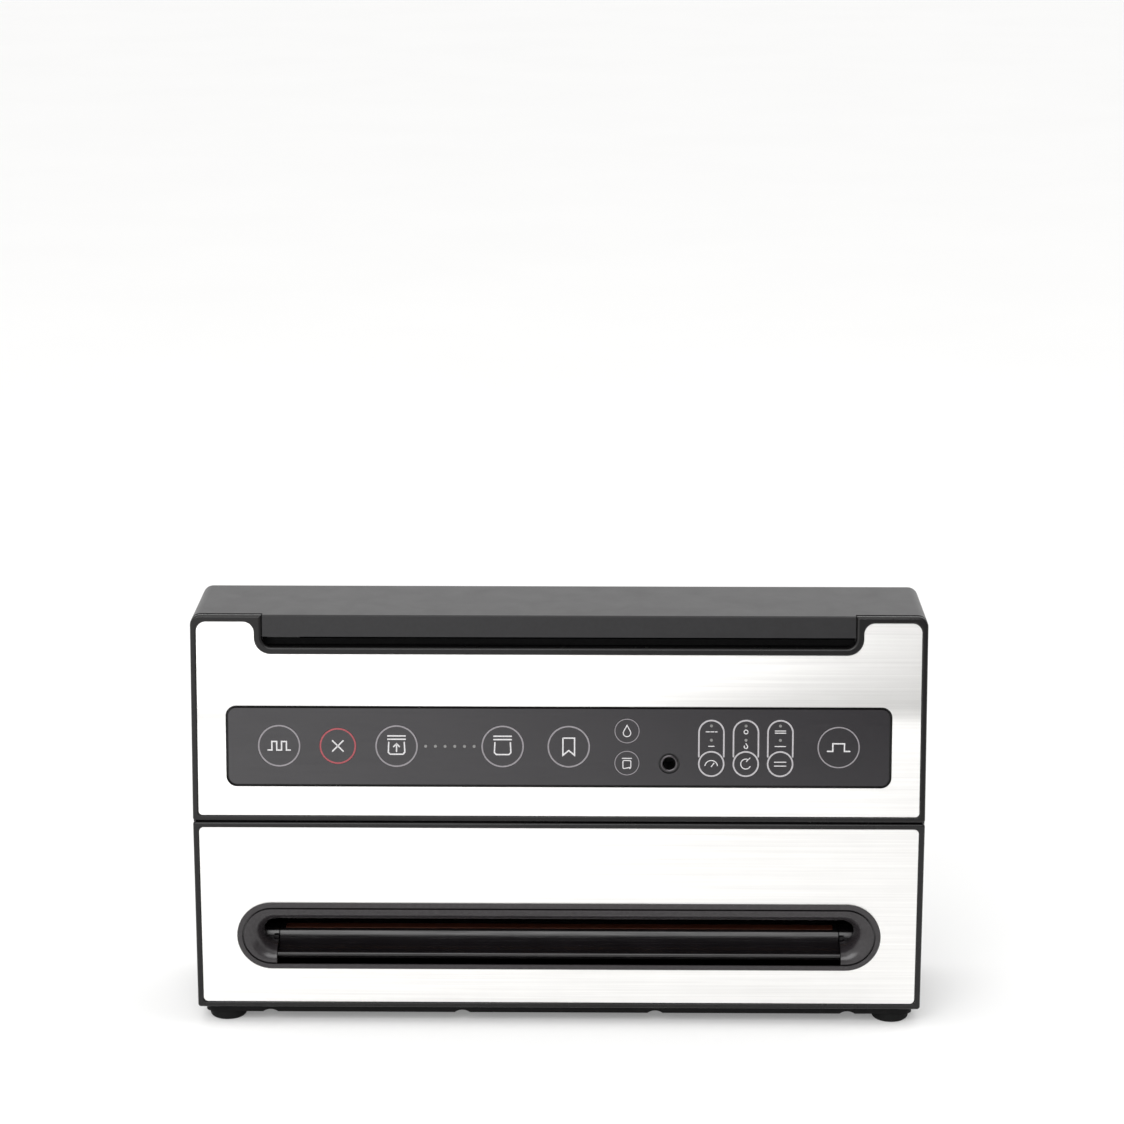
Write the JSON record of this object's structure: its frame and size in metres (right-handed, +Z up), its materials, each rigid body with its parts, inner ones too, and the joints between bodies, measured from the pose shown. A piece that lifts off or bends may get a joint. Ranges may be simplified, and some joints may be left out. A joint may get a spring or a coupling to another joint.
{
  "type": "vacuum sealer",
  "caption": "Upright kitchen vacuum sealer with a bag slot over a pull-out drip tray, a sloped key panel with a hose port, and a film roll compartment with a cutter under its lid.",
  "frame": {"origin": "middle of the bounding box, at the height of the feet's undersides", "axes": "+X to the right as seen by the user, -Y the front, +Z up"},
  "size_m": [0.4, 0.096, 0.2315],
  "materials": {
    "base_plate": "textured black",
    "board_components": "mixed",
    "case_screws": "zinc plated",
    "control_board": "solder mask",
    "control_overlay": "satin film",
    "cutter_bar": "moulded",
    "cutter_blade": "ground",
    "cutter_carriage": "black",
    "drip_tray": "polished black",
    "heating_bar": "extruded",
    "heating_wires": "flat band",
    "hose_port": "polished",
    "indicator_lenses": "clear lens",
    "jaw_gasket": "foam",
    "jaw_guides": "moulded",
    "jaw_racks": "natural acetal",
    "key_cancel": "satin film",
    "key_canister": "satin film",
    "key_food_option": "satin film",
    "key_manual_seal": "satin film",
    "key_marinate": "satin film",
    "key_memory": "satin film",
    "key_pulse_slow": "satin film",
    "key_pulse_vacuum": "satin film",
    "key_seam_option": "satin film",
    "key_speed_option": "satin film",
    "key_switches": "moulded",
    "key_vacuum_and_seal": "satin film",
    "lid_hinge_pins": "ground",
    "lift_motor": "zinc plated",
    "lift_shaft": "ground",
    "lower_front_frame": "satin black",
    "lower_front_plate": "brushed along its length",
    "lower_housing": "textured black",
    "main_board": "solder mask",
    "motor_pinion": "cut",
    "port_hose": "silicone",
    "power_inlet": "moulded",
    "ptfe_tape": "coated glass cloth",
    "pump_head": "glass filled",
    "pump_motor": "zinc plated",
    "pump_rotor": "moulded on a steel shaft",
    "release_valve": "black",
    "roll_deck": "moulded",
    "roll_lid": "fine texture",
    "roll_trough": "moulded",
    "rubber_feet": "matt",
    "seal_pad": "silicone",
    "shaft_gears": "natural acetal",
    "slot_bezel": "satin",
    "suction_hose": "silicone",
    "suction_manifold": "moulded",
    "transformer_coil": "yellow tape",
    "transformer_core": "varnished laminations",
    "tray_cradle": "moulded",
    "upper_front_frame": "satin black",
    "upper_front_plate": "brushed along its length",
    "upper_housing": "textured black",
    "upper_jaw": "glass filled",
    "valve_plunger": "turned"
  },
  "bodies": {
    "chassis": {"upper_housing": "upper_housing", "lower_housing": "lower_housing", "base_plate": "base_plate", "rubber_feet": "rubber_feet", "case_screws": "case_screws", "upper_front_frame": "upper_front_frame", "upper_front_plate": "upper_front_plate", "lower_front_frame": "lower_front_frame", "lower_front_plate": "lower_front_plate", "control_overlay": "control_overlay", "indicator_lenses": "indicator_lenses", "control_board": "control_board", "key_switches": "key_switches", "hose_port": "hose_port", "slot_bezel": "slot_bezel", "tray_cradle": "tray_cradle", "roll_trough": "roll_trough", "roll_deck": "roll_deck", "jaw_guides": "jaw_guides", "suction_manifold": "suction_manifold", "suction_hose": "suction_hose", "port_hose": "port_hose", "release_valve": "release_valve", "pump_head": "pump_head", "pump_motor": "pump_motor", "transformer_core": "transformer_core", "transformer_coil": "transformer_coil", "main_board": "main_board", "board_components": "board_components", "power_inlet": "power_inlet", "lift_motor": "lift_motor"},
    "lid": {"roll_lid": "roll_lid", "lid_hinge_pins": "lid_hinge_pins"},
    "cutter": {"cutter_bar": "cutter_bar"},
    "carriage": {"cutter_carriage": "cutter_carriage", "cutter_blade": "cutter_blade"},
    "tray": {"drip_tray": "drip_tray", "seal_pad": "seal_pad"},
    "jaw": {"upper_jaw": "upper_jaw", "heating_bar": "heating_bar", "heating_wires": "heating_wires", "ptfe_tape": "ptfe_tape", "jaw_gasket": "jaw_gasket", "jaw_racks": "jaw_racks"},
    "lift_shaft": {"lift_shaft": "lift_shaft", "shaft_gears": "shaft_gears"},
    "motor_pinion": {"motor_pinion": "motor_pinion"},
    "pump_rotor": {"pump_rotor": "pump_rotor"},
    "valve_plunger": {"valve_plunger": "valve_plunger"},
    "key_pulse_vacuum": {"key_pulse_vacuum": "key_pulse_vacuum"},
    "key_cancel": {"key_cancel": "key_cancel"},
    "key_vacuum_and_seal": {"key_vacuum_and_seal": "key_vacuum_and_seal"},
    "key_manual_seal": {"key_manual_seal": "key_manual_seal"},
    "key_memory": {"key_memory": "key_memory"},
    "key_marinate": {"key_marinate": "key_marinate"},
    "key_canister": {"key_canister": "key_canister"},
    "key_speed_option": {"key_speed_option": "key_speed_option"},
    "key_food_option": {"key_food_option": "key_food_option"},
    "key_seam_option": {"key_seam_option": "key_seam_option"},
    "key_pulse_slow": {"key_pulse_slow": "key_pulse_slow"}
  },
  "joints": [
    {"name": "lid_hinge", "type": "hinge", "parent": "chassis", "child": "lid", "pos_m": [0, 0.0305, 0.2195], "axis": [-1, 0, 0], "range_deg": [0, 100]},
    {"name": "cutter_bar_hinge", "type": "hinge", "parent": "chassis", "child": "cutter", "pos_m": [0, -0.0175, 0.2165], "axis": [-1, 0, 0], "range_deg": [0, 60]},
    {"name": "cutter_slide", "type": "slide", "parent": "cutter", "child": "carriage", "axis": [1, 0, 0], "range_m": [0, 0.3]},
    {"name": "tray_slide", "type": "slide", "parent": "chassis", "child": "tray", "axis": [0, -1, 0], "range_m": [0, 0.07]},
    {"name": "jaw_slide", "type": "slide", "parent": "chassis", "child": "jaw", "axis": [0, 0, -1], "range_m": [0, 0.0074]},
    {"name": "lift_shaft_spin", "type": "hinge", "parent": "chassis", "child": "lift_shaft", "pos_m": [0, 0.0032, 0.084], "axis": [1, 0, 0], "range_deg": [0, 59]},
    {"name": "motor_pinion_spin", "type": "hinge", "parent": "chassis", "child": "motor_pinion", "pos_m": [0, 0.0148, 0.10409], "axis": [1, 0, 0], "range_deg": [-131, 0]},
    {"name": "pump_spin", "type": "hinge", "parent": "chassis", "child": "pump_rotor", "pos_m": [0, 0.013, 0.128], "axis": [1, 0, 0], "continuous": true},
    {"name": "valve_slide", "type": "slide", "parent": "chassis", "child": "valve_plunger", "axis": [0, 0, 1], "range_m": [0, 0.003], "stiffness_N_per_m": 120, "springref_m": -0.002},
    {"name": "key_pulse_vacuum_press", "type": "slide", "parent": "chassis", "child": "key_pulse_vacuum", "axis": [0, 0.9951, -0.0991], "range_m": [0, 0.0004], "stiffness_N_per_m": 3000, "springref_m": -0.0002},
    {"name": "key_cancel_press", "type": "slide", "parent": "chassis", "child": "key_cancel", "axis": [0, 0.9951, -0.0991], "range_m": [0, 0.0004], "stiffness_N_per_m": 3000, "springref_m": -0.0002},
    {"name": "key_vacuum_and_seal_press", "type": "slide", "parent": "chassis", "child": "key_vacuum_and_seal", "axis": [0, 0.9951, -0.0991], "range_m": [0, 0.0004], "stiffness_N_per_m": 3000, "springref_m": -0.0002},
    {"name": "key_manual_seal_press", "type": "slide", "parent": "chassis", "child": "key_manual_seal", "axis": [0, 0.9951, -0.0991], "range_m": [0, 0.0004], "stiffness_N_per_m": 3000, "springref_m": -0.0002},
    {"name": "key_memory_press", "type": "slide", "parent": "chassis", "child": "key_memory", "axis": [0, 0.9951, -0.0991], "range_m": [0, 0.0004], "stiffness_N_per_m": 3000, "springref_m": -0.0002},
    {"name": "key_marinate_press", "type": "slide", "parent": "chassis", "child": "key_marinate", "axis": [0, 0.9951, -0.0991], "range_m": [0, 0.0004], "stiffness_N_per_m": 3000, "springref_m": -0.0002},
    {"name": "key_canister_press", "type": "slide", "parent": "chassis", "child": "key_canister", "axis": [0, 0.9951, -0.0991], "range_m": [0, 0.0004], "stiffness_N_per_m": 3000, "springref_m": -0.0002},
    {"name": "key_speed_option_press", "type": "slide", "parent": "chassis", "child": "key_speed_option", "axis": [0, 0.9951, -0.0991], "range_m": [0, 0.0004], "stiffness_N_per_m": 3000, "springref_m": -0.0002},
    {"name": "key_food_option_press", "type": "slide", "parent": "chassis", "child": "key_food_option", "axis": [0, 0.9951, -0.0991], "range_m": [0, 0.0004], "stiffness_N_per_m": 3000, "springref_m": -0.0002},
    {"name": "key_seam_option_press", "type": "slide", "parent": "chassis", "child": "key_seam_option", "axis": [0, 0.9951, -0.0991], "range_m": [0, 0.0004], "stiffness_N_per_m": 3000, "springref_m": -0.0002},
    {"name": "key_pulse_slow_press", "type": "slide", "parent": "chassis", "child": "key_pulse_slow", "axis": [0, 0.9951, -0.0991], "range_m": [0, 0.0004], "stiffness_N_per_m": 3000, "springref_m": -0.0002}
  ],
  "couplings": [
    {"joint": "lift_shaft_spin", "follows": "jaw_slide", "rad_per_m": 138.89},
    {"joint": "motor_pinion_spin", "follows": "jaw_slide", "rad_per_m": -308.64}
  ]
}
